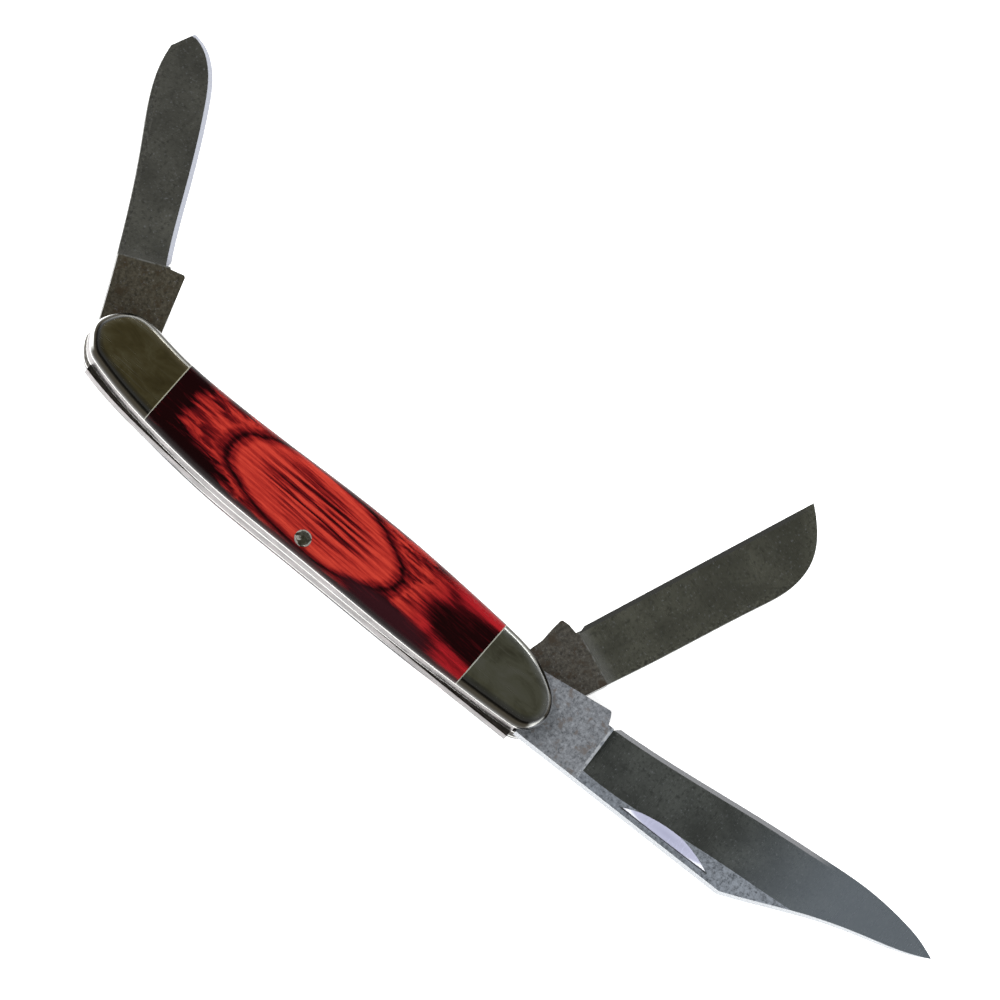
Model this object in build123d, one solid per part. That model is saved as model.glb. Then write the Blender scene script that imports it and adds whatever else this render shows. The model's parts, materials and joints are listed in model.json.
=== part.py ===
from build123d import *
from math import cos, pi
import os

# Three-blade stockman-pattern pocket knife, lying on its rear side with every blade out.
# Millimetres. +X runs along the handle to the clip blade, +Y is the side the blades swing out of,
# +Z is the face with the clip blade's nail nick. The rear covers rest on z = 0.

# ---- stack through the thickness, from the rear face up ----
COVER_T = 2.9
LINER_T = 0.6
SLOT_W = 2.5
TANG_PLAY = 0.03
REAR_LINER_Z = COVER_T
REAR_SLOT_Z = REAR_LINER_Z + LINER_T
CENTRE_LINER_Z = REAR_SLOT_Z + SLOT_W
FRONT_SLOT_Z = CENTRE_LINER_Z + LINER_T
FRONT_LINER_Z = FRONT_SLOT_Z + SLOT_W
FRONT_COVER_Z = FRONT_LINER_Z + LINER_T
HANDLE_T = FRONT_COVER_Z + COVER_T
EDGE_ROUND = 2.5

# ---- handle outline: the back carries the springs, the blades go in at the mouth ----
BACK = [
    (-46.8, -4.4),
    (-40.7, -5.75),
    (-33.8, -6.62),
    (-15.5, -7.52),
    (-1.6, -7.1),
    (12.0, -6.7),
    (26.3, -6.2),
    (35.3, -5.6),
    (45.7, -4.7),
]
RIGHT_NOSE = [(48.5, -4.0), (50.65, -0.8), (49.3, 3.2), (46.2, 5.45)]
MOUTH = [
    (42.0, 7.15),
    (34.8, 7.93),
    (22.0, 8.25),
    (11.0, 8.2),
    (-2.6, 7.5),
    (-16.1, 6.52),
    (-26.0, 6.02),
    (-34.5, 6.0),
    (-41.0, 6.58),
    (-45.5, 6.55),
]
LEFT_NOSE = [(-48.2, 5.15), (-49.95, 2.8), (-50.6, 0.3), (-49.5, -2.2)]
LEFT_JOINT_X = -33.65
RIGHT_JOINT_X = 35.0

# ---- pins ----
PIVOT_X = 43.2
PIVOT_Y = 2.1
PIVOT_D = 2.4
PIVOT_PLAY = 0.05
CENTRE_PIN_X = -0.4
CENTRE_PIN_Y = -4.8
CENTRE_PIN_D = 1.9
PIN_HEAD_D = 3.0
PIN_HEAD_CROWN = 0.3

# ---- back springs ----
SPRING_RIGHT_X = 47.4
SPRING_LEFT_X = -46.75
SPRING_END_T = 2.75
SPRING_BULGE = 1.75
SPRING_BULGE_HALF = 26.0
SPRING_LIFT_RIGHT = 1.0
SPRING_LIFT_LEFT = 1.0
SPRING_LIFT_FROM = 14.0
SPRING_STATIONS = 12
SOLID_END_X = -41.3

# ---- blades: each in its own frame, pivot at the origin, x to the tip, y to the cutting edge ----
RIGHT_TANG_REACH = 4.1
LEFT_TANG_REACH = 4.3
RIGHT_NOTCH_X = 4.35
LEFT_NOTCH_X = 3.7
RIGHT_CORNER_R = 1.0
LEFT_CORNER_R = 1.9
KICK_R = 0.5
EDGE_T = 0.06
BEVEL_W = 0.8
BEVEL_T = 0.30
THIN_BLADE_T = 1.15
CLIP_OPEN_DEG = 3.5
SHEEPSFOOT_REST_DEG = 69.9
SPEY_REST_DEG = 116.8
FAR = 40.0


def face_of(*edges):
    """A flat face inside a closed run of edges."""
    return make_face(Wire(list(edges)))


def prism(face, z_low, z_high):
    """A straight-sided solid over a flat face, from one height to another."""
    return extrude(Pos(0, 0, z_low) * face, z_high - z_low, dir=(0, 0, 1))


def rod(x, y, diameter, z_low, z_high):
    """An upright round bar."""
    return Pos(x, y, (z_low + z_high) / 2) * Cylinder(diameter / 2, z_high - z_low)


def slab(x_low, x_high):
    """Everything between two places along the knife."""
    return Pos((x_low + x_high) / 2, 0, 0) * Box(x_high - x_low, 2 * FAR, 2 * FAR)


# ---- handle ----
def handle_outline():
    """The outline that the covers, bolsters and liners are ground to together."""
    return face_of(Spline(*BACK, *RIGHT_NOSE, *MOUTH, *LEFT_NOSE, periodic=True))


def side_scale(outline, z_low, is_front):
    """A full-length scale with its outer edge rounded, before it is split into bolsters and cover."""
    scale = prism(outline, z_low, z_low + COVER_T)
    outer = scale.faces().sort_by(Axis.Z)[-1 if is_front else 0]
    return fillet(outer.edges(), EDGE_ROUND)


def side_parts(outline, z_low, is_front, rivet):
    """Left bolster, cover and right bolster of one side, bored for their pins."""
    scale = side_scale(outline, z_low, is_front)
    holes = [rod(x, PIVOT_Y, PIVOT_D, 0, HANDLE_T) for x in (-PIVOT_X, PIVOT_X)]
    left = scale & slab(-FAR * 2, LEFT_JOINT_X)
    cover = scale & slab(LEFT_JOINT_X, RIGHT_JOINT_X)
    right = scale & slab(RIGHT_JOINT_X, FAR * 2)
    return left - holes[0], cover - rivet, right - holes[1]


def liner(outline, z_low):
    """One brass liner with its three pin holes."""
    plate = prism(outline, z_low, z_low + LINER_T)
    for x in (-PIVOT_X, PIVOT_X):
        plate -= rod(x, PIVOT_Y, PIVOT_D, 0, HANDLE_T)
    return plate - rod(CENTRE_PIN_X, CENTRE_PIN_Y, CENTRE_PIN_D, 0, HANDLE_T)


def centre_rivet():
    """Round bar with a low domed head at each end, the rear crown level with the rear face."""
    radius = PIN_HEAD_D / 2
    sphere_r = (radius**2 + PIN_HEAD_CROWN**2) / (2 * PIN_HEAD_CROWN)
    cap = Sphere(sphere_r) & Pos(0, 0, sphere_r) * Box(PIN_HEAD_D, PIN_HEAD_D, 2 * PIN_HEAD_CROWN)
    front = Pos(CENTRE_PIN_X, CENTRE_PIN_Y, HANDLE_T - sphere_r + PIN_HEAD_CROWN) * cap
    rear = Pos(CENTRE_PIN_X, CENTRE_PIN_Y, sphere_r) * Rot(180, 0, 0) * cap
    shank = rod(CENTRE_PIN_X, CENTRE_PIN_Y, CENTRE_PIN_D, PIN_HEAD_CROWN, HANDLE_T)
    return shank + front + rear


# ---- back springs ----
def spring_thickness(x):
    """Even along the ends, thicker where the centre rivet goes through."""
    if abs(x) > SPRING_BULGE_HALF:
        return SPRING_END_T
    return SPRING_END_T + SPRING_BULGE * cos(pi * x / (2 * SPRING_BULGE_HALF)) ** 2


def spring_lift(x):
    """How far a part-open blade's tang pushes the spring out at a place along it."""
    lift, end = (SPRING_LIFT_RIGHT, SPRING_RIGHT_X) if x > 0 else (SPRING_LIFT_LEFT, -SPRING_LEFT_X)
    reach = max(abs(x) - SPRING_LIFT_FROM, 0) / (end - SPRING_LIFT_FROM)
    return lift * reach**1.5


def run_on(curve, end, x):
    """The point where a curve, carried straight on past one of its ends, reaches x."""
    direction = curve % end
    point = curve @ end
    return point + direction * ((x - point.X) / direction.X)


def spring_lines(is_lifted):
    """The outer and inner edges of a spring that lies along the handle's back, left to right."""
    back = Spline(*BACK)
    stations = [back @ (i / SPRING_STATIONS) for i in range(SPRING_STATIONS + 1)]
    stations[0] = run_on(back, 0, SPRING_LEFT_X)
    stations.append(run_on(back, 1, SPRING_RIGHT_X))
    outer, inner = [], []
    for p in stations:
        y = p.Y - (spring_lift(p.X) if is_lifted else 0)
        outer.append((p.X, y))
        inner.append((p.X, y + spring_thickness(p.X)))
    return outer, inner


def front_spring(outline):
    """The clip blade's spring, whose left end fills the slot round the small pivot pin."""
    inner = spring_lines(False)[1]
    ceiling = Polyline(inner[-1], (SPRING_RIGHT_X, FAR), (SPRING_LEFT_X, FAR), inner[0]).edges()
    above = prism(face_of(Spline(*inner), *ceiling), FRONT_SLOT_Z, FRONT_LINER_Z)
    blade_room = above & slab(SOLID_END_X, 2 * FAR)
    spring = prism(outline, FRONT_SLOT_Z, FRONT_LINER_Z) - blade_room - slab(SPRING_RIGHT_X, 2 * FAR)
    spring -= rod(-PIVOT_X, PIVOT_Y, PIVOT_D, 0, HANDLE_T)
    return spring - rod(CENTRE_PIN_X, CENTRE_PIN_Y, CENTRE_PIN_D, 0, HANDLE_T)


def rear_spring():
    """The spring that the two small blades share, bowed outward while both are part open."""
    outer, inner = spring_lines(True)
    ends = Line(outer[-1], inner[-1]), Line(inner[0], outer[0])
    strip = face_of(Spline(*outer), ends[0], Spline(*reversed(inner)), ends[1])
    bar = prism(strip, REAR_SLOT_Z, CENTRE_LINER_Z)
    return bar - rod(CENTRE_PIN_X, CENTRE_PIN_Y, CENTRE_PIN_D, 0, HANDLE_T)


# ---- blades ----
def ground_body(edge, grind, z_low, z_high):
    """A blade's ground cross-section swept along its cutting edge, wide enough to trim."""
    middle = (z_low + z_high) / 2
    shoulder = [(x, y - BEVEL_W) for x, y in edge]
    levels = [
        (z_low, grind),
        (middle - BEVEL_T / 2, shoulder),
        (middle - EDGE_T / 2, edge),
        (middle + EDGE_T / 2, edge),
        (middle + BEVEL_T / 2, shoulder),
        (z_high, grind),
    ]
    sections = []
    for z, curve in levels:
        left_x, right_x = edge[0][0], edge[-1][0]
        sides = Polyline(curve[-1], (right_x, -FAR), (left_x, -FAR), curve[0]).edges()
        sections.append(Pos(0, 0, z) * face_of(Spline(*curve), *sides))
    return loft(sections, ruled=True)


def nail_nick(x, y, length, width, depth, z, is_front):
    """The cut a coned wheel leaves: straight and deepest on the spine side, arched on the other."""
    wheel_r = ((length / 2) ** 2 + depth**2) / (2 * depth)
    wheel = Rot(-90, 0, 0) * Cone(wheel_r, wheel_r - depth, width)
    rise = wheel_r - depth
    return Pos(x, y + width / 2, z + rise if is_front else z - rise) * wheel


def blade(outline, plunge_x, edge, grind, tang_z, blade_z, nick):
    """A blade in its own frame: full-thickness tang, ground body and nail nick."""
    tang = prism(outline, *tang_z) & slab(-FAR, plunge_x)
    body = prism(outline, *blade_z) & slab(plunge_x - 1, 3 * FAR) & ground_body(edge, grind, *blade_z)
    pivot = rod(0, 0, PIVOT_D + 2 * PIVOT_PLAY, 0, HANDLE_T)
    return tang + body - pivot - nick


def finish_outline(face, corners, corner_r, kick):
    """Rounds the hidden corners of a tang and the tip of its kick."""
    near = [face.vertices().sort_by_distance(Vertex(*corner))[0] for corner in corners]
    face = fillet(near, corner_r)
    return fillet(face.vertices().sort_by_distance(Vertex(*kick))[0], KICK_R)


def clip_blade():
    """Master blade: long, with a straight back and a clipped point."""
    reach, notch = RIGHT_TANG_REACH, RIGHT_NOTCH_X
    kick, tip = (15.2, 6.0), (83.6, 6.3)
    clip_start = (47.9, -7.5)
    corners = [(-reach, 3.5), (-reach, -reach)]
    hidden = Polyline(kick, *corners, (notch, -reach), (notch, -7.14), clip_start)
    clipped = Spline(clip_start, (54.5, -4.7), (63.0, -1.0), (72.0, 2.0), (80.0, 4.5), tip)
    straight = [(18.4, 4.75), (22.4, 5.0), (36.0, 6.35), (47.8, 7.7)]
    curved = [(59.7, 8.75), (68.2, 9.2), (74.9, 8.7), (80.0, 7.7)]
    edge = straight + curved
    belly = Spline(*edge, tip)
    choil = Polyline(edge[0], (17.4, 3.8), (16.2, 3.8), (15.7, 5.1), kick)
    outline = face_of(*hidden.edges(), clipped, belly, *choil.edges())
    outline = finish_outline(outline, corners, RIGHT_CORNER_R, kick)
    grind = [(16.4, -5.3), (26.0, -5.3), (39.4, -3.9), (51.2, -3.0), (59.7, -2.4), (72.0, -0.6), (86.0, 3.0)]
    ground_edge = [(16.4, 4.7)] + edge[1:] + [tip, (86.0, 5.2)]
    thick = (FRONT_SLOT_Z + TANG_PLAY, FRONT_LINER_Z - TANG_PLAY)
    nick = nail_nick(35.3, -6.5, 18.6, 2.45, 0.5, thick[1], True)
    return blade(outline, 17.4, ground_edge, grind, thick, thick, nick)


def sheepsfoot_blade():
    """Small blade with a dead straight edge and a back that curves down to it."""
    reach, notch = RIGHT_TANG_REACH, RIGHT_NOTCH_X
    kick, tip = (12.8, 6.45), (61.9, 3.8)
    corners = [(-reach, 3.5), (-reach, -reach)]
    hidden = Polyline(kick, (10.8, 5.9), (8.0, 4.9), *corners, (notch, -reach), (notch, -6.7))
    back = Spline((notch, -6.7), (22.7, -7.2), (44.0, -7.45), (51.5, -7.1), (57.0, -4.4), (60.4, 0.2), tip)
    edge = Line(tip, (15.9, 3.75))
    choil = Polyline(edge @ 1, (14.9, 3.3), (13.8, 3.35), (13.5, 5.0), kick)
    outline = face_of(*hidden.edges(), back, edge, *choil.edges())
    outline = finish_outline(outline, corners, RIGHT_CORNER_R, kick)
    grind = [(13.4, -6.2), (35.0, -6.4), (64.0, -6.2)]
    ground_edge = [(13.4, 3.75), (35.0, 3.78), (64.0, 3.8)]
    tang_z = (REAR_SLOT_Z + TANG_PLAY, CENTRE_LINER_Z - TANG_PLAY)
    blade_z = (tang_z[1] - THIN_BLADE_T, tang_z[1])
    nick = nail_nick(34.0, -6.9, 13.0, 1.8, 0.4, blade_z[0], False)
    return blade(outline, 14.4, ground_edge, grind, tang_z, blade_z, nick)


def spey_blade():
    """Small blade with a nearly straight edge that turns up to a blunt point."""
    reach, notch = LEFT_TANG_REACH, LEFT_NOTCH_X
    kick, tip = (15.2, 6.1), (57.3, -1.9)
    corners = [(-reach, 3.0), (-reach, -reach)]
    hidden = Polyline(kick, *corners, (notch, -reach), (notch, -6.4))
    back = Spline((notch, -6.4), (10.6, -6.1), (19.6, -5.95), (35.7, -6.4), (50.6, -6.5), (54.2, -5.5))
    point = Line(back @ 1, tip)
    edge = [(17.5, 3.5), (31.0, 3.5), (45.3, 3.4), (52.0, 2.4), (55.7, 0.3)]
    belly = Spline(*edge, tip)
    choil = Polyline(edge[0], (16.6, 3.0), (15.6, 3.35), (15.35, 5.0), kick)
    outline = face_of(*hidden.edges(), back, point, belly, *choil.edges())
    outline = finish_outline(outline, corners, LEFT_CORNER_R, kick)
    grind = [(15.0, -5.0), (35.0, -5.4), (60.0, -6.4)]
    ground_edge = [(15.0, 3.5)] + edge[1:] + [tip, (58.4, -4.5)]
    tang_z = (REAR_SLOT_Z + TANG_PLAY, CENTRE_LINER_Z - TANG_PLAY)
    blade_z = (tang_z[0], tang_z[0] + THIN_BLADE_T)
    nick = nail_nick(32.0, -6.0, 13.0, 1.8, 0.4, blade_z[0], False)
    return blade(outline, 16.0, ground_edge, grind, tang_z, blade_z, nick)


def placed(blade_solid, pivot_x, angle):
    """A blade turned to its angle about its pivot pin."""
    return Pos(pivot_x, PIVOT_Y, 0) * Rot(0, 0, angle) * blade_solid


def build():
    """Every piece of the knife by name."""
    outline = handle_outline()
    rivet = centre_rivet()
    rear = side_parts(outline, 0, False, rivet)
    front = side_parts(outline, FRONT_COVER_Z, True, rivet)
    spey = mirror(spey_blade(), about=Plane.XZ)
    return {
        "rear_left_bolster": rear[0],
        "rear_cover": rear[1],
        "rear_right_bolster": rear[2],
        "front_left_bolster": front[0],
        "front_cover": front[1],
        "front_right_bolster": front[2],
        "rear_liner": liner(outline, REAR_LINER_Z),
        "centre_liner": liner(outline, CENTRE_LINER_Z),
        "front_liner": liner(outline, FRONT_LINER_Z),
        "front_spring": front_spring(outline),
        "rear_spring": rear_spring(),
        "master_pivot_pin": rod(PIVOT_X, PIVOT_Y, PIVOT_D, 0, HANDLE_T),
        "small_pivot_pin": rod(-PIVOT_X, PIVOT_Y, PIVOT_D, 0, HANDLE_T),
        "centre_pin": rivet,
        "clip_blade": placed(clip_blade(), PIVOT_X, CLIP_OPEN_DEG),
        "sheepsfoot_blade": placed(sheepsfoot_blade(), PIVOT_X, SHEEPSFOOT_REST_DEG),
        "spey_blade": placed(spey, -PIVOT_X, SPEY_REST_DEG),
    }


os.makedirs("parts", exist_ok=True)
for name, piece in build().items():
    solid = piece.solids()[0]
    solid.label = name
    export_step(solid, os.path.join("parts", name + ".step"))
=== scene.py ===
import json
import math
from functools import reduce

import bmesh
import bpy
from mathutils import Matrix, Vector


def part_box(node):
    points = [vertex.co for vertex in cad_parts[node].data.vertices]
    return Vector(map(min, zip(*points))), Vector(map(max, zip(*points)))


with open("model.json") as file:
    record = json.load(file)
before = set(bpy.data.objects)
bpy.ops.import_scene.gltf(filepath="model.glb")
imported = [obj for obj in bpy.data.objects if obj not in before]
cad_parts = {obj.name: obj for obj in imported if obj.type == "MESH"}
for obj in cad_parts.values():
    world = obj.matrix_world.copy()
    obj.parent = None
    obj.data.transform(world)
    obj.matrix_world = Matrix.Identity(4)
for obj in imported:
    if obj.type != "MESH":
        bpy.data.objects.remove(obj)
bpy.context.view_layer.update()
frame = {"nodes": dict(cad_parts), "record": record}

MM = 0.001
LIGHT_DISTANCE = 0.9

# The covers' figure in millimetres: middle and half-axes of each oval
EYE = -2.1, 0.3, 18.6, 7.0
HEART = -1.5, 0.8, 13.0, 5.6
DARK_LEFT = -36.0, -1.0, 7.2, 14.0
DARK_LOW_LEFT = -29.0, -6.8, 12.5, 3.6
DARK_RIGHT = 40.0, 1.1, 18.6, 4.6
PURPLE_LOW = 18.5, -5.4, 11.0, 2.6

# The blades' directions in the CAD, in degrees from +X
CLIP_DEG = 3.5
SHEEPSFOOT_DEG = 69.9
SPEY_DEG = 116.8

# Millimetres in a blade's own frame, with the pivot at 0 and the tip along X: an oval, then steps' ends
CLIP_NICK = 35.3, -5.2, 9.3, 1.5
ABOVE_NICKS = -2.6, -2.4
NICK_LIP = -6.15, -6.30
EDGE_FADE = 62.0, 56.0

# Steps in how level a blade's surfaces are: flats 1, ground faces 0.994 or more, bevels 0.989, nicks 0.980
FLAT = 0.9993, 0.9998
STEEP = 0.9912, 0.9902
NOT_UPRIGHT = 0.90, 0.92

# Linear colours
BLACK_WOOD = (0.006, 0.0012, 0.0014)
MAROON = (0.034, 0.0022, 0.0032)
DEEP_RED = (0.115, 0.0055, 0.0060)
ORANGE_RED = (0.270, 0.0180, 0.0130)
ORANGE = (0.405, 0.0380, 0.0230)
CRIMSON = (0.230, 0.0080, 0.0110)
BRIGHT_CRIMSON = (0.36, 0.015, 0.018)
PURPLE_BROWN = (0.050, 0.0120, 0.0170)
CLEAN_SILVER = (0.98, 1.0, 1.0)
RIM_SILVER = (0.95, 0.95, 0.93)
PAINTED_SHADE_SLOPE = (0.52, 0.52, 0.49)
PAINTED_SHADE_UPRIGHT = (0.52, 0.51, 0.48)
PAINTED_SHADE_DARK = (0.030, 0.026, 0.019)
WORN_SILVER = (0.24, 0.235, 0.20)
PAINTED_HIGHLIGHT_RIVET = (0.20, 0.19, 0.175)
PIT_STEEL = (0.34, 0.35, 0.38)
PAINTED_LIGHT_GROUND = (0.27, 0.31, 0.36)
PAINTED_LIGHT_FLAT = (0.46, 0.50, 0.57)
BACK_STEEL = (0.42, 0.43, 0.45)
NICK_LIP_SHADE = (0.03, 0.03, 0.04)
NICK_WALL_SHADE = (0.04, 0.04, 0.05)

# A colour Mix node's sockets
MIX_A, MIX_B, MIX_RESULT = 6, 7, 2


# ---- node helpers ----
def fill_ramp(node, stops, interpolation="LINEAR"):
    """Gives a ramp node its colours or greys, at places from 0 to 1."""
    ramp = node.color_ramp
    ramp.interpolation = interpolation
    while len(ramp.elements) < len(stops):
        ramp.elements.new(0.5)
    for element, (position, value) in zip(ramp.elements, stops):
        color = value if isinstance(value, tuple) else (value, value, value)
        element.position = position
        element.color = (*color, 1)


class Graph:
    """A material's node tree, with short calls for the nodes that the finishes share."""

    def __init__(self, name, metallic, roughness):
        self.material = bpy.data.materials.new(name)
        self.material.use_nodes = True
        self.tree = self.material.node_tree
        self.shader = self.tree.nodes["Principled BSDF"]
        self.finish("Metallic", metallic)
        self.finish("Roughness", roughness)

    def put(self, socket, value):
        if isinstance(value, bpy.types.NodeSocket):
            self.tree.links.new(value, socket)
        elif isinstance(value, tuple) and len(value) == 3 and socket.type == "RGBA":
            socket.default_value = (*value, 1)
        else:
            socket.default_value = value

    def finish(self, name, value):
        """Sets one of the shader's own sockets, or links it."""
        self.put(self.shader.inputs[name], value)

    def add(self, kind, settings=None, **inputs):
        node = self.tree.nodes.new(kind)
        for key, value in (settings or {}).items():
            setattr(node, key, value)
        for key, value in inputs.items():
            self.put(node.inputs[key.replace("_", " ")], value)
        return node

    def mapped(self, vector, location=(0, 0, 0), rotation=(0, 0, 0), scale=(1, 1, 1)):
        change = {"Location": location, "Rotation": rotation, "Scale": scale}
        return self.add("ShaderNodeMapping", Vector=vector, **change).outputs[0]

    def place(self):
        """Position on the piece in millimetres."""
        metres = self.add("ShaderNodeTexCoord").outputs["Object"]
        return self.mapped(metres, scale=(1 / MM, 1 / MM, 1 / MM))

    def split(self, vector):
        """A vector's x, y and z."""
        return tuple(self.add("ShaderNodeSeparateXYZ", Vector=vector).outputs)

    def normal(self, name="Normal"):
        return self.add("ShaderNodeNewGeometry").outputs[name]

    def level(self, normal):
        """1 where a surface faces straight up or down, 0 where it stands upright."""
        return self.math("ABSOLUTE", self.split(normal)[2])

    def math(self, operation, a, b=0.0, clamp=False):
        node = self.add("ShaderNodeMath", {"operation": operation, "use_clamp": clamp})
        self.put(node.inputs[0], a)
        self.put(node.inputs[1], b)
        return node.outputs[0]

    def times(self, *values):
        return reduce(lambda a, b: self.math("MULTIPLY", a, b), values)

    def plus(self, *values):
        return reduce(lambda a, b: self.math("ADD", a, b), values)

    def minus(self, a, b):
        return self.math("SUBTRACT", a, b)

    def most(self, *values):
        return reduce(lambda a, b: self.math("MAXIMUM", a, b), values)

    def inverse(self, value):
        return self.math("SUBTRACT", 1.0, value)

    def vector(self, operation, *values):
        node = self.add("ShaderNodeVectorMath", {"operation": operation})
        for socket, value in zip(node.inputs, values):
            self.put(socket, value)
        return node.outputs["Value" if operation == "LENGTH" else "Vector"]

    def noise(self, vector, scale=1.0, detail=4.0, rough=0.55, distortion=0.0, output="Fac"):
        shape = {"Scale": scale, "Detail": detail, "Roughness": rough, "Distortion": distortion}
        return self.add("ShaderNodeTexNoise", Vector=vector, **shape).outputs[output]

    def ramp(self, fac, stops, interpolation="LINEAR"):
        node = self.add("ShaderNodeValToRGB", Fac=fac)
        fill_ramp(node, stops, interpolation)
        return node.outputs[0]

    def step(self, value, low, high):
        """Smooth change from 0 at low to 1 at high; low may be the larger."""
        node = self.add("ShaderNodeMapRange", {"interpolation_type": "SMOOTHSTEP"}, Value=value)
        node.inputs["From Min"].default_value = low
        node.inputs["From Max"].default_value = high
        return node.outputs[0]

    def mix(self, fac, a, b):
        node = self.add("ShaderNodeMix", {"data_type": "RGBA"}, Factor=fac)
        self.put(node.inputs[MIX_A], a)
        self.put(node.inputs[MIX_B], b)
        return node.outputs[MIX_RESULT]

    def oval(self, place, x, y, half_x, half_y):
        """Distance from the middle of an oval, 1 on its rim."""
        scale = (1 / half_x, 1 / half_y, 0)
        return self.vector("LENGTH", self.mapped(place, location=(-x / half_x, -y / half_y, 0), scale=scale))

    def bump(self, height, strength, distance=0.02 * MM):
        relief = self.add("ShaderNodeBump", Height=height, Strength=strength, Distance=distance)
        self.finish("Normal", relief.outputs[0])


# ---- wood ----
def wander(g, place, scale, detail, reach):
    """A random sideways shift, up to half of reach each way."""
    noise = g.noise(g.mapped(place, scale=scale), detail=detail, output="Color")
    return g.vector("MULTIPLY_ADD", noise, reach, tuple(-r / 2 for r in reach))


def laminated_wood():
    """Dyed birch laminate, sanded across its layers so that they show as ovals, under a clear polish."""
    g = Graph("laminated_wood", metallic=0.0, roughness=0.18)
    place = g.place()
    drift = wander(g, place, scale=(0.05, 0.16, 0.3), detail=3.0, reach=(6.0, 2.0, 0.0))
    fray = wander(g, place, scale=(0.22, 1.5, 1.0), detail=4.0, reach=(1.8, 0.5, 0.0))
    moved = g.vector("ADD", place, g.vector("ADD", drift, fray))
    x = g.split(moved)[0]

    # tone runs from 0, black, to 1, orange, and the eye's rim is at 0.4 on rings
    rings = g.times(g.oval(moved, *EYE), 0.4)
    tone = g.ramp(rings, [
        (0.0, 0.80), (0.345, 0.82), (0.378, 0.50), (0.399, 0.16), (0.422, 0.44),
        (0.450, 0.78), (0.58, 0.66), (0.64, 0.44), (0.72, 0.60), (1.0, 0.66),
    ], "EASE")
    purple = g.step(g.oval(moved, *PURPLE_LOW), 1.2, 0.5)
    dark = g.most(
        g.step(g.oval(moved, *DARK_LEFT), 1.2, 0.75),
        g.step(g.oval(moved, *DARK_LOW_LEFT), 1.25, 0.6),
        g.step(g.oval(moved, *DARK_RIGHT), 1.12, 0.74),
        purple,
    )
    tone = g.times(tone, g.inverse(g.times(dark, 0.86)))

    streaks = g.noise(g.mapped(place, rotation=(0, 0, 0.03), scale=(0.05, 1.55, 0.4)), distortion=0.25)
    heart = g.step(g.oval(place, *HEART), 1.25, 0.45)
    streak_depth = g.plus(0.22, g.times(heart, 0.50))
    tone = g.minus(tone, g.times(g.step(streaks, 0.36, 0.64), streak_depth))
    slanted = g.mapped(moved, rotation=(0, 0, 0.55), scale=(0.16, 0.9, 0.4))
    veins = g.step(g.noise(slanted, detail=3.0, distortion=0.4), 0.44, 0.62)
    veined = g.math("SUBTRACT", g.step(rings, 0.41, 0.46), g.step(x, 17.0, 25.0), clamp=True)
    tone = g.minus(tone, g.times(veins, veined, 0.42))
    along_grain = g.mapped(place, rotation=(0, 0, 0.03), scale=(0.5, 7.0, 2.0))
    grain = g.noise(along_grain, detail=3.0, rough=0.6)
    tone = g.math("ADD", tone, g.times(g.minus(grain, 0.5), 0.5), clamp=True)

    red = g.ramp(tone, [
        (0.0, BLACK_WOOD), (0.16, MAROON), (0.36, DEEP_RED), (0.60, ORANGE_RED), (0.88, ORANGE),
    ])
    crimson = g.ramp(tone, [(0.0, BLACK_WOOD), (0.22, MAROON), (0.55, CRIMSON), (0.9, BRIGHT_CRIMSON)])
    color = g.mix(g.step(x, 19.0, 27.0), red, crimson)
    color = g.mix(g.times(purple, 0.34), color, PURPLE_BROWN)
    # sides and rounded edges darkened nearly to black: painted shade
    side = g.step(g.level(g.normal()), 0.72, 0.40)
    g.finish("Base Color", g.mix(g.times(side, 0.92), color, BLACK_WOOD))
    g.finish("Roughness", g.plus(0.12, g.times(grain, 0.10)))
    g.finish("Specular IOR Level", 0.08)
    g.bump(grain, strength=0.12)
    return g.material


# ---- handle metal ----
def scratches(g, place, angle, fineness=0.9):
    """Long thin marks in one direction, 1 on a mark."""
    scale = (0.10 * fineness, 5.5 * fineness, 1.0)
    turned = g.mapped(place, rotation=(0, 0, math.radians(angle)), scale=scale)
    return g.step(g.noise(turned, detail=2.0, rough=0.5), 0.66, 0.74)


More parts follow.
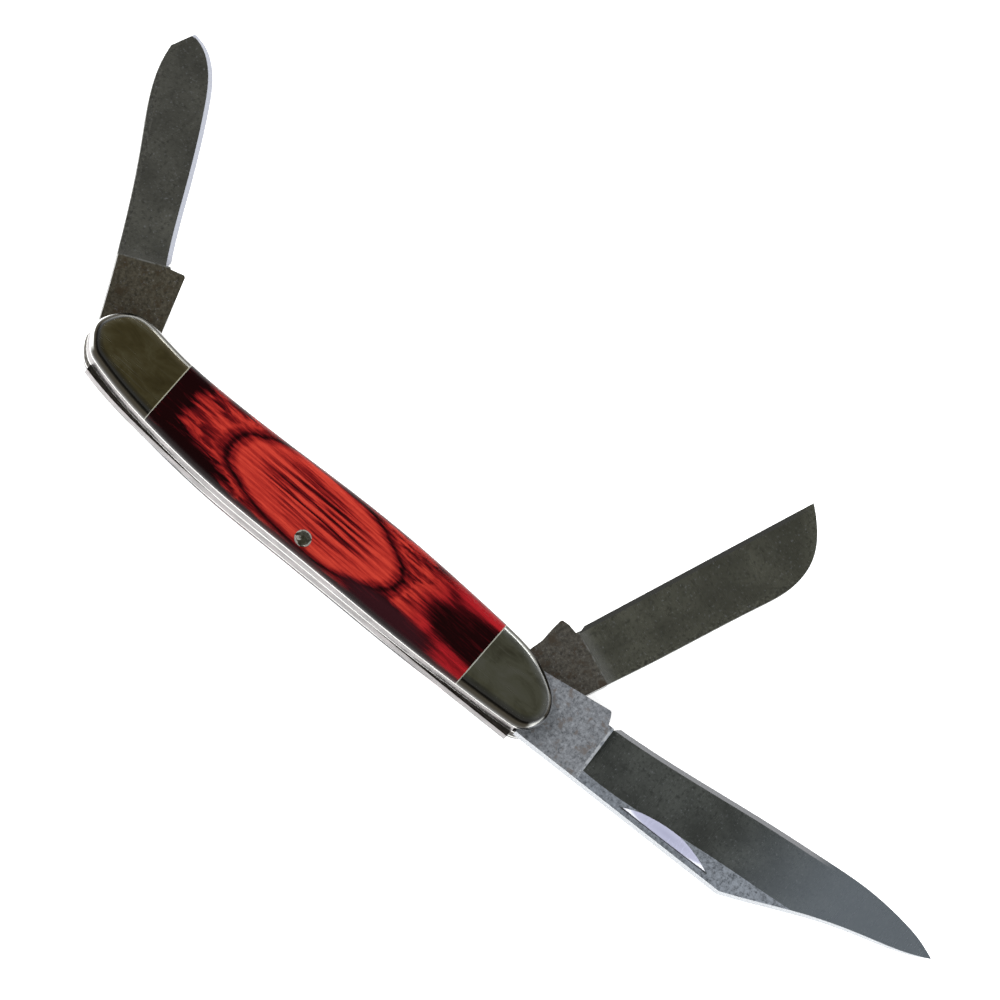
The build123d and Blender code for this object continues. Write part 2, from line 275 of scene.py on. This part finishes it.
def nickel_silver(left_cut, right_cut):
    """Polished bolster metal: hazy, with painted shade where it rounds over, worn bright where it meets the
    wood.
    """
    g = Graph("nickel_silver", metallic=1.0, roughness=0.08)
    place = g.place()
    x = g.split(place)[0]
    haze = g.noise(g.mapped(place, scale=(0.16, 0.30, 0.3)), rough=0.6, distortion=0.6)
    hairs = g.most(scratches(g, place, 62), scratches(g, place, -28), scratches(g, place, 4, 1.4))
    warm = g.ramp(haze, [(0.3, (0.40, 0.32, 0.16)), (0.5, (0.66, 0.56, 0.32)), (0.72, (0.94, 0.86, 0.60))])
    cool = g.ramp(haze, [(0.3, (0.50, 0.50, 0.42)), (0.5, (0.86, 0.88, 0.80)), (0.68, (0.98, 1.0, 1.0))])
    tint = g.mix(g.step(x, -10.0, 10.0), warm, cool)

    # the rounding and the spine side of the face are darkened as painted shade, but for a clean rim and a
    # bright patch at its right end
    normal = g.normal()
    level = g.level(normal)
    facing_x, facing_y, _ = g.split(g.vector("NORMALIZE", g.vector("MULTIPLY", normal, (1.0, 1.0, 0.0))))
    spine_side = g.times(g.step(level, 0.985, 0.93), g.step(facing_y, -0.35, -0.75), 0.45)
    rounding = g.most(g.step(level, 0.86, 0.72), spine_side)
    rim = g.times(g.step(level, 0.55, 0.42), g.step(facing_y, -0.85, -0.60))
    patch = g.times(g.step(level, 0.88, 0.70), g.step(facing_x, 0.60, 0.85), g.step(facing_y, 0.05, -0.25))
    painted_shade = g.times(rounding, g.inverse(g.most(rim, patch)))
    tint = g.mix(g.times(hairs, 0.45), tint, CLEAN_SILVER)
    # sloping and upright faces get darker tints: painted shade
    tint = g.mix(g.step(level, 0.94, 0.82), tint, PAINTED_SHADE_SLOPE)
    tint = g.mix(rim, tint, RIM_SILVER)
    tint = g.mix(g.step(level, 0.25, 0.10), tint, PAINTED_SHADE_UPRIGHT)
    # painted shade: the rounding turns nearly black
    color = g.mix(painted_shade, tint, PAINTED_SHADE_DARK)

    from_middle = g.math("ABSOLUTE", g.minus(x, (left_cut + right_cut) / 2))
    half_cover = (right_cut - left_cut) / 2
    made_matt = g.step(from_middle, half_cover + 0.24, half_cover + 0.08)
    g.finish("Base Color", g.mix(made_matt, color, WORN_SILVER))
    g.finish("Metallic", g.inverse(g.times(made_matt, 0.9)))
    g.finish("Roughness", g.plus(0.07, g.times(haze, 0.16), g.times(hairs, 0.12)))
    g.bump(hairs, strength=0.05)
    return g.material


def liner_metal():
    """Thin nickel silver sheet, its edges finished with the handle."""
    g = Graph("liner_metal", metallic=1.0, roughness=0.3)
    drag = g.noise(g.mapped(g.place(), scale=(0.25, 3.0, 9.0)), detail=3.0)
    g.finish("Base Color", g.ramp(drag, [(0.3, (0.60, 0.58, 0.54)), (0.7, (0.95, 0.94, 0.92))]))
    g.finish("Roughness", g.plus(0.22, g.times(drag, 0.2)))
    g.bump(drag, strength=0.15)
    return g.material


def rivet_metal():
    """Pin metal, buffed flush."""
    g = Graph("rivet_metal", metallic=1.0, roughness=0.12)
    dents = g.noise(g.place(), 1.3, detail=3.0, rough=0.5)
    tones = [(0.35, (0.34, 0.33, 0.30)), (0.5, (0.70, 0.69, 0.65)), (0.65, (0.92, 0.91, 0.87))]
    g.finish("Base Color", g.ramp(dents, tones))
    g.finish("Roughness", g.plus(0.06, g.times(dents, 0.16)))
    g.bump(dents, strength=0.5, distance=0.05 * MM)
    return g.material


def peened_head(x, y, radius):
    """A pin head in the wood: uneven from the hammer, with a painted highlight on its rim and a painted
    glint off its middle.
    """
    g = Graph("peened_head", metallic=1.0, roughness=0.2)
    place = g.place()
    dents = g.noise(place, 1.1, detail=3.0, rough=0.6)
    # painted highlights: a pale rim and a glint off the middle, made matt and broken up by the dents
    rim = g.step(g.plus(g.oval(place, x, y, radius, radius), g.times(dents, 0.24)), 0.90, 1.04)
    off_middle = x - 0.4 * radius, y - 0.3 * radius, 0.36 * radius, 0.30 * radius
    painted_glint = g.step(g.oval(place, *off_middle), 1.0, 0.5)
    made_matt = g.times(g.most(rim, painted_glint), g.step(dents, 0.38, 0.56))
    dull = g.ramp(dents, [(0.35, (0.30, 0.29, 0.24)), (0.65, (0.95, 0.93, 0.84))])
    g.finish("Base Color", g.mix(made_matt, dull, PAINTED_HIGHLIGHT_RIVET))
    g.finish("Metallic", g.inverse(g.times(made_matt, 0.85)))
    g.finish("Roughness", g.plus(0.12, g.times(dents, 0.2)))
    g.bump(dents, strength=0.8, distance=0.10 * MM)
    return g.material


def spring_steel():
    """Spring steel ground lengthwise on its outer edge and its sides."""
    g = Graph("spring_steel", metallic=1.0, roughness=0.3)
    place = g.place()
    drag = g.noise(g.mapped(place, scale=(0.12, 4.0, 5.0)), rough=0.6)
    cloud = g.noise(place, 0.35, detail=3.0)
    tone = g.plus(g.times(drag, 0.6), g.times(cloud, 0.4))
    tones = [(0.3, (0.12, 0.112, 0.11)), (0.5, (0.26, 0.24, 0.235)), (0.70, (0.47, 0.42, 0.42))]
    g.finish("Base Color", g.ramp(tone, tones))
    g.finish("Roughness", g.plus(0.20, g.times(drag, 0.22)))
    g.bump(drag, strength=0.2)
    return g.material


# ---- blades ----
def tinted(color, *factors):
    """A colour times one factor, or times one for each channel."""
    return tuple(c * f for c, f in zip(color, factors if len(factors) > 1 else factors * 3))


def mottled(g, fac, color, dark, light):
    """The colour made darker and lighter; dark and light are (place on fac, factor)."""
    return g.ramp(fac, [(at, tinted(color, factor)) for at, factor in (dark, light)])


def blade_frame(g, pivot, degrees):
    """Position on a blade in millimetres from its pivot, with X along the blade."""
    turn = math.radians(-degrees)
    shift = Matrix.Rotation(turn, 3, "Z") @ Vector((-pivot.x, -pivot.y, 0))
    return g.mapped(g.place(), location=tuple(shift), rotation=(0, 0, turn))


def nail_nick(g, local, nick, level, color):
    """Colours a nick with a painted highlight on its floor and painted shade on its lip and walls; gives the
    new colour and where the nick is.
    """
    y = g.split(local)[1]
    radius = g.oval(local, *nick)
    hollow = g.times(g.step(level, *STEEP), g.step(radius, 1.25, 1.15), g.inverse(g.step(y, *ABOVE_NICKS)))
    # painted highlight: the floor pales toward its upper arc
    floor = g.ramp(g.times(radius, 0.8), [
        (0.0, (0.33, 0.33, 0.44)), (0.62, (0.42, 0.42, 0.54)), (0.76, (0.80, 0.80, 0.86)),
    ])
    floor = g.mix(g.step(y, *NICK_LIP), floor, NICK_LIP_SHADE)
    floor = g.mix(g.step(level, 0.75, 0.5), floor, NICK_WALL_SHADE)
    return g.mix(hollow, color, floor), hollow


def blade_steel(name, pivot, degrees, tang_end, edge_side, colors, painted_edge_highlight=0.0, nick=None):
    """Blade steel: mill-finished flats and tang, ground faces and a sharpened edge.

    edge_side is 1 or -1, the side of the blade's frame in Y that its edge is on. Only the master blade
    has a nick on its front, and it has painted light toward its tip, with a lighter back.
    """
    g = Graph(name, metallic=1.0, roughness=0.3)
    local = blade_frame(g, pivot, degrees)
    x, y, _ = g.split(local)
    level = g.level(g.normal("True Normal"))
    is_flat = g.step(level, *FLAT)
    is_tang = g.times(g.step(x, tang_end + 0.2, tang_end - 0.2), g.step(level, 0.6, 0.8))

    drawn = g.noise(g.mapped(local, scale=(1.6, 0.3, 1.0)), rough=0.6)
    specks = g.noise(local, 1.7, detail=5.0, rough=0.75)
    cloud = g.noise(local, 0.14, detail=3.0, distortion=0.5)
    blotches = g.step(g.noise(local, 0.55, rough=0.6, distortion=0.4), 0.54, 0.66)
    pits = g.step(g.noise(local, 2.6, detail=3.0, rough=0.6), 0.61, 0.70)
    flat = mottled(g, specks, colors["flat"], dark=(0.34, 0.35), light=(0.66, 1.4))
    ground = mottled(g, cloud, colors["ground"], dark=(0.3, 0.72), light=(0.72, 1.35))
    ground = g.mix(g.step(specks, 0.52, 0.34), ground, tinted(colors["ground"], 0.6))
    tang = mottled(g, specks, colors["tang"], dark=(0.32, 0.35), light=(0.68, 1.35))
    tang = g.mix(blotches, tang, tinted(colors["tang"], 0.66, 0.58, 0.52))
    if nick:
        # painted light: the master blade's ground faces and flats pale toward the tip
        ground = g.mix(g.step(x, 40.0, 68.0), ground, g.mix(0.55, ground, PAINTED_LIGHT_GROUND))
        painted_light_end = g.times(g.step(x, 34.0, 50.0), g.step(specks, 0.36, 0.60), 0.6)
        flat = g.mix(painted_light_end, flat, PAINTED_LIGHT_FLAT)
    color = g.mix(is_tang, g.mix(is_flat, ground, flat), tang)
    color = g.mix(g.times(pits, 0.34), color, PIT_STEEL)

    # painted sheen on the flat just past the tang, then a painted highlight along the plunge
    if not nick:
        painted_sheen = g.times(g.step(x, tang_end + 2.6, tang_end + 0.3), 0.42, g.inverse(is_tang))
        color = g.mix(painted_sheen, color, colors["painted_highlight"])
    from_line = g.math("ABSOLUTE", g.minus(x, tang_end + 0.15))
    gaps = g.step(g.noise(local, 0.8, detail=3.0, rough=0.7), 0.40, 0.56)
    painted_plunge_highlight = g.times(g.step(from_line, 0.36, 0.16), is_flat, gaps, 0.8)
    color = g.mix(painted_plunge_highlight, color, colors["painted_highlight"])

    bevel = g.times(g.step(level, *STEEP), g.step(level, *NOT_UPRIGHT))
    at_edge = g.times(bevel, g.step(g.times(y, edge_side), *ABOVE_NICKS), g.step(x, *EDGE_FADE))
    color = g.mix(at_edge, color, colors["edge"])
    # the spey's edge bevel and the nick turn matt and pale: painted highlights
    bright = g.times(at_edge, painted_edge_highlight)
    if nick:
        color, hollow = nail_nick(g, local, nick, level, color)
        color = g.mix(g.step(level, 0.4, 0.2), color, BACK_STEEL)
        bright = g.most(bright, hollow)
    g.finish("Base Color", color)
    g.finish("Metallic", g.minus(0.6, g.times(bright, 0.5)))
    g.finish("Roughness", g.plus(0.24, g.times(drawn, 0.06), g.times(g.most(is_flat, is_tang), 0.06)))
    g.bump(g.plus(g.times(drawn, 0.10), g.times(specks, 0.90)), strength=0.14)
    return g.material


# ---- finer edges on the thin metal pieces ----
def soften(node, width):
    """Breaks a piece's sharp edges a little so that they catch the light."""
    weld = node.modifiers.new("weld", "WELD")
    weld.merge_threshold = 0.0005 * MM
    edge = node.modifiers.new("edge", "BEVEL")
    edge.width = width * MM
    edge.segments = 2
    edge.limit_method = "ANGLE"
    edge.angle_limit = math.radians(35)


# ---- camera, light and floor ----
def make_camera():
    """Looks down on the front face from the back's side, with the handle running down to the right."""
    tilt = math.radians(17.0)
    roll = math.radians(41.1)
    distance = 2.5
    view_width = 0.1693
    aim = Vector((20.35 * MM, 24.99 * MM, 6.3 * MM))
    along = Vector((1, 0, 0))
    across = Vector((0, math.cos(tilt), math.sin(tilt)))
    away = Vector((0, -math.sin(tilt), math.cos(tilt)))
    right = math.cos(roll) * along + math.sin(roll) * across
    up = -math.sin(roll) * along + math.cos(roll) * across
    data = bpy.data.cameras.new("camera")
    data.sensor_width = 36.0
    data.lens = data.sensor_width * distance / view_width
    data.clip_start = 0.01
    camera = bpy.data.objects.new("camera", data)
    place = aim + distance * away
    camera.matrix_world = Matrix((
        (right.x, up.x, away.x, place.x),
        (right.y, up.y, away.y, place.y),
        (right.z, up.z, away.z, place.z),
        (0, 0, 0, 1),
    ))
    bpy.context.scene.collection.objects.link(camera)
    bpy.context.scene.camera = camera


def softbox(name, azimuth, elevation, size, power, color=(1, 1, 1), glint=False):
    """A soft light aimed at the knife, with azimuth 0 at +X and 90 at +Y.

    A glint shows only as a reflection in the knife, and the other lights have no reflection.
    """
    turn, rise = math.radians(azimuth), math.radians(elevation)
    direction = Vector((math.cos(rise) * math.cos(turn), math.cos(rise) * math.sin(turn), math.sin(rise)))
    data = bpy.data.lights.new(name, "AREA")
    data.shape = "RECTANGLE"
    data.size, data.size_y = size
    data.energy = power
    data.color = color
    lamp = bpy.data.objects.new(name, data)
    lamp.location = direction * LIGHT_DISTANCE
    lamp.visible_glossy = glint
    lamp.visible_diffuse = not glint
    lamp.rotation_euler = (-direction).to_track_quat("-Z", "Y").to_euler()
    bpy.context.scene.collection.objects.link(lamp)


def make_floor():
    """A pale light table, which leaves no shadow."""
    mesh = bpy.data.meshes.new("floor")
    bm = bmesh.new()
    bmesh.ops.create_grid(bm, x_segments=2, y_segments=2, size=3.0)
    bm.to_mesh(mesh)
    bm.free()
    floor = bpy.data.objects.new("floor", mesh)
    floor.location.z = -0.2 * MM
    bpy.context.scene.collection.objects.link(floor)
    g = Graph("floor_white", metallic=0.0, roughness=0.9)
    g.finish("Base Color", (0.8, 0.8, 0.8))
    g.finish("Emission Color", (1.0, 1.0, 1.0))
    g.finish("Emission Strength", 0.75)
    mesh.materials.append(g.material)


def make_world():
    """A dim room overhead with a bright surround near the horizon."""
    world = bpy.data.worlds.new("studio")
    world.use_nodes = True
    tree = world.node_tree
    background = tree.nodes["Background"]
    coordinate = tree.nodes.new("ShaderNodeTexCoord")
    split = tree.nodes.new("ShaderNodeSeparateXYZ")
    ramp = tree.nodes.new("ShaderNodeValToRGB")
    fill_ramp(ramp, [
        (0.0, 1.0), (0.06, 1.0), (0.15, (0.36, 0.38, 0.42)),
        (0.32, 0.12), (0.80, (0.075, 0.075, 0.066)), (1.0, (0.058, 0.056, 0.040)),
    ])
    tree.links.new(coordinate.outputs["Generated"], split.inputs[0])
    tree.links.new(split.outputs["Z"], ramp.inputs["Fac"])
    tree.links.new(ramp.outputs[0], background.inputs["Color"])
    background.inputs["Strength"].default_value = 1.0
    bpy.context.scene.world = world


make_camera()
make_floor()
make_world()
softbox("left_light", 165, 42, (0.55, 0.55), 11)
softbox("right_light", -35, 40, (0.45, 0.45), 7, (0.92, 0.97, 1.0))
softbox("far_light", 80, 30, (0.30, 0.22), 3)
softbox("top_glint", 82, 12, (0.26, 0.10), 0.25, glint=True)
bpy.context.scene.view_settings.view_transform = "Standard"


# ---- materials on the pieces ----
def middle(name):
    """The middle of a node's box in millimetres."""
    low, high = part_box(name)
    return (low + high) / (2 * MM)


def span(name):
    """A node's size along X in millimetres."""
    low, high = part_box(name)
    return (high.x - low.x) / MM


master_pivot = middle("master_pivot_pin")
small_pivot = middle("small_pivot_pin")
rivet = middle("centre_pin")
materials = {
    "laminated_wood": laminated_wood(),
    "nickel_silver": nickel_silver(
        left_cut=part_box("front_left_bolster")[1].x / MM,
        right_cut=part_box("front_right_bolster")[0].x / MM,
    ),
    "liner_metal": liner_metal(),
    "rivet_metal": rivet_metal(),
    "spring_steel": spring_steel(),
}
clip_colors = {
    "flat": (0.31, 0.335, 0.38),
    "ground": (0.080, 0.085, 0.079),
    "tang": (0.37, 0.385, 0.42),
    "edge": (0.42, 0.42, 0.44),
    "painted_highlight": (0.70, 0.72, 0.76),
}
sheepsfoot_colors = {
    "flat": (0.098, 0.098, 0.078),
    "ground": (0.086, 0.086, 0.068),
    "tang": (0.118, 0.108, 0.092),
    "edge": (0.07, 0.07, 0.065),
    "painted_highlight": (0.22, 0.22, 0.21),
}
spey_colors = {
    "flat": (0.100, 0.098, 0.086),
    "ground": (0.090, 0.089, 0.077),
    "tang": (0.098, 0.087, 0.064),
    "edge": (0.40, 0.41, 0.46),
    "painted_highlight": (0.20, 0.20, 0.19),
}
own_materials = {
    "centre_pin": peened_head(rivet.x, rivet.y, span("centre_pin") / 2),
    "clip_blade": blade_steel("clip_steel", master_pivot, CLIP_DEG, 17.0, 1, clip_colors, nick=CLIP_NICK),
    "sheepsfoot_blade": blade_steel(
        "sheepsfoot_steel", master_pivot, SHEEPSFOOT_DEG, 14.25, 1, sheepsfoot_colors),
    "spey_blade": blade_steel("spey_steel", small_pivot, SPEY_DEG, 15.85, -1, spey_colors, painted_edge_highlight=1.0),
}
slot_of = {s["node"]: s["material_slot"] for s in frame["record"]["subparts"]}
for name, node in frame["nodes"].items():
    node.data.materials.clear()
    node.data.materials.append(own_materials.get(name) or materials[slot_of[name]])
    if name.endswith(("_spring", "_liner")):
        soften(node, 0.05)
